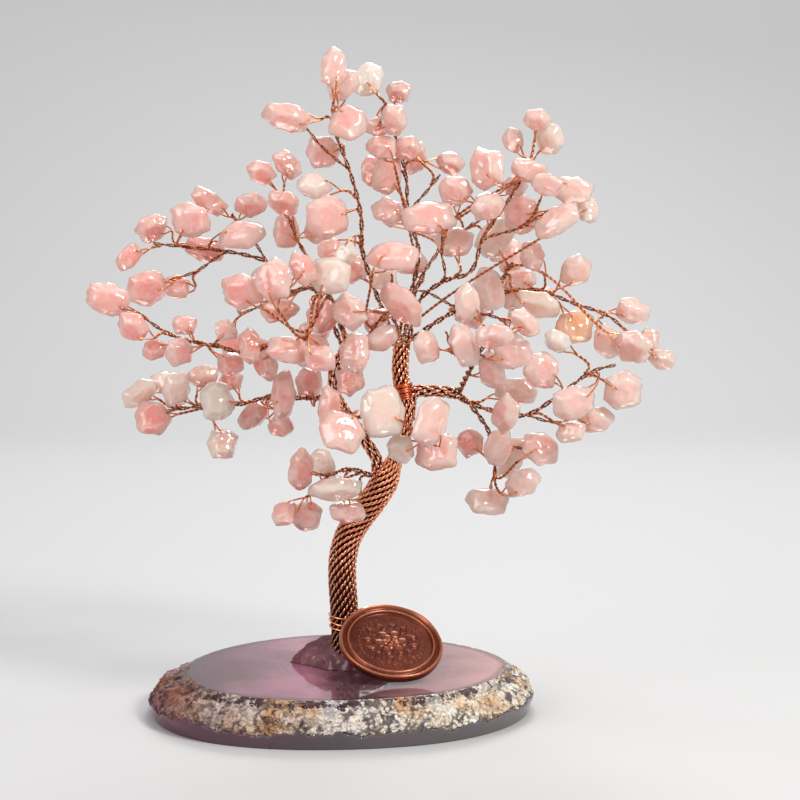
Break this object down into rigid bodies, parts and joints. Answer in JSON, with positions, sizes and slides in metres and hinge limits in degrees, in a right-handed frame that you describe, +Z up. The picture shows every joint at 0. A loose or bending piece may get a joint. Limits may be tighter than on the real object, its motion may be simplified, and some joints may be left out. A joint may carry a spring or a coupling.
{
  "type": "gemstone tree ornament",
  "caption": "Wire tree ornament with drilled stone chips on twisted boughs, standing on an agate slab with a leaning seal.",
  "frame": {"origin": "centre of the slab's flat bottom", "axes": "+X to the right as the tree is seen from the front, +Y to the back, +Z up"},
  "size_m": [0.1766, 0.1087, 0.198],
  "materials": {
    "agate": "polished top, rough crust",
    "resin": "glossy, smoky",
    "copper": "drawn wire",
    "red_copper": "drawn wire",
    "bright_copper": "bright wire",
    "rose_quartz": "tumbled, glossy, translucent",
    "seal": "waxy sheen"
  },
  "bodies": {
    "tree": {"agate_slab": "agate", "foot_mound": "resin", "fork_binding": "red_copper", "hanging_wire": "bright_copper", "left_fork": "copper", "neck_core": "copper", "neck_strands": "copper", "right_fork": "copper", "tie_wire": "bright_copper", "trunk_core": "copper", "trunk_strands": "copper"},
    "medallion": {"medallion": "seal"},
    "upper_left": {"upper_left_bough": "copper", "upper_left_bows": "copper", "upper_left_chips": "rose_quartz"},
    "apex": {"apex_bough": "copper", "apex_bows": "copper", "apex_chips": "rose_quartz"},
    "upper_right": {"upper_right_bough": "copper", "upper_right_bows": "copper", "upper_right_chips": "rose_quartz"},
    "right": {"right_bough": "copper", "right_bows": "copper", "right_chips": "rose_quartz"},
    "front_upper": {"front_upper_bough": "copper", "front_upper_bows": "copper", "front_upper_chips": "rose_quartz"},
    "centre_right": {"centre_right_bough": "copper", "centre_right_bows": "copper", "centre_right_chips": "rose_quartz"},
    "lower_right": {"lower_right_bough": "copper", "lower_right_bows": "copper", "lower_right_chips": "rose_quartz"},
    "right_hanging": {"right_hanging_bough": "copper", "right_hanging_bows": "copper", "right_hanging_chips": "rose_quartz"},
    "outer_left": {"outer_left_bough": "copper", "outer_left_bows": "copper", "outer_left_chips": "rose_quartz"},
    "back_left": {"back_left_bough": "copper", "back_left_bows": "copper", "back_left_chips": "rose_quartz"},
    "centre_left": {"centre_left_bough": "copper", "centre_left_bows": "copper", "centre_left_chips": "rose_quartz"},
    "left": {"left_bough": "copper", "left_bows": "copper", "left_chips": "rose_quartz"},
    "lower_left": {"lower_left_bough": "copper", "lower_left_bows": "copper", "lower_left_chips": "rose_quartz"},
    "hanging_left": {"hanging_left_bough": "copper", "hanging_left_bows": "copper", "hanging_left_chips": "rose_quartz"},
    "front_centre": {"front_centre_bough": "copper", "front_centre_bows": "copper", "front_centre_chips": "rose_quartz"},
    "back_right": {"back_right_bough": "copper", "back_right_bows": "copper", "back_right_chips": "rose_quartz"}
  },
  "joints": [
    {"name": "upper_left_bend", "type": "hinge", "parent": "tree", "child": "upper_left", "pos_m": [0.01663, -0.00085, 0.11179], "axis": [0, 1, 0], "range_deg": [-5, 5]},
    {"name": "apex_bend", "type": "hinge", "parent": "tree", "child": "apex", "pos_m": [0.01704, 0.00159, 0.11156], "axis": [0, 1, 0], "range_deg": [-5, 5]},
    {"name": "upper_right_bend", "type": "hinge", "parent": "tree", "child": "upper_right", "pos_m": [0.02073, -0.00164, 0.11126], "axis": [0, 1, 0], "range_deg": [-5, 5]},
    {"name": "right_bend", "type": "hinge", "parent": "tree", "child": "right", "pos_m": [0.02133, 0.00064, 0.11176], "axis": [0, 1, 0], "range_deg": [-5, 5]},
    {"name": "front_upper_bend", "type": "hinge", "parent": "tree", "child": "front_upper", "pos_m": [0.0186, -0.00244, 0.11188], "axis": [0, 1, 0], "range_deg": [-5, 5]},
    {"name": "centre_right_bend", "type": "hinge", "parent": "tree", "child": "centre_right", "pos_m": [0.03623, -0.0007, 0.09722], "axis": [0, 1, 0], "range_deg": [-5, 5]},
    {"name": "lower_right_bend", "type": "hinge", "parent": "tree", "child": "lower_right", "pos_m": [0.03552, -0.0007, 0.09485], "axis": [0, 1, 0], "range_deg": [-5, 5]},
    {"name": "right_hanging_bend", "type": "hinge", "parent": "tree", "child": "right_hanging", "pos_m": [0.03586, 0.0014, 0.09604], "axis": [0, 1, 0], "range_deg": [-5, 5]},
    {"name": "outer_left_bend", "type": "hinge", "parent": "tree", "child": "outer_left", "pos_m": [0.00097, 0, 0.11068], "axis": [0, 1, 0], "range_deg": [-5, 5]},
    {"name": "back_left_bend", "type": "hinge", "parent": "tree", "child": "back_left", "pos_m": [0.00291, 0.00127, 0.10978], "axis": [0, 1, 0], "range_deg": [-5, 5]},
    {"name": "centre_left_bend", "type": "hinge", "parent": "tree", "child": "centre_left", "pos_m": [0.00291, -0.00127, 0.10978], "axis": [0, 1, 0], "range_deg": [-5, 5]},
    {"name": "left_bend", "type": "hinge", "parent": "tree", "child": "left", "pos_m": [-0.00206, -0.00113, 0.10614], "axis": [0, 1, 0], "range_deg": [-5, 5]},
    {"name": "lower_left_bend", "type": "hinge", "parent": "tree", "child": "lower_left", "pos_m": [-0.00294, 0.00136, 0.09496], "axis": [0, 1, 0], "range_deg": [-5, 5]},
    {"name": "hanging_left_bend", "type": "hinge", "parent": "tree", "child": "hanging_left", "pos_m": [0.01064, -0.00317, 0.07125], "axis": [0, 1, 0], "range_deg": [-5, 5]},
    {"name": "front_centre_bend", "type": "hinge", "parent": "tree", "child": "front_centre", "pos_m": [0.01927, -0.00301, 0.08826], "axis": [0, 1, 0], "range_deg": [-5, 5]},
    {"name": "back_right_bend", "type": "hinge", "parent": "tree", "child": "back_right", "pos_m": [0.01944, 0.00241, 0.1118], "axis": [0, 1, 0], "range_deg": [-5, 5]},
    {"name": "medallion_swing", "type": "hinge", "parent": "tree", "child": "medallion", "pos_m": [0.01213, -0.00213, 0.0316], "axis": [-0.9635, -0.2677, 0], "range_deg": [0, 60]}
  ]
}
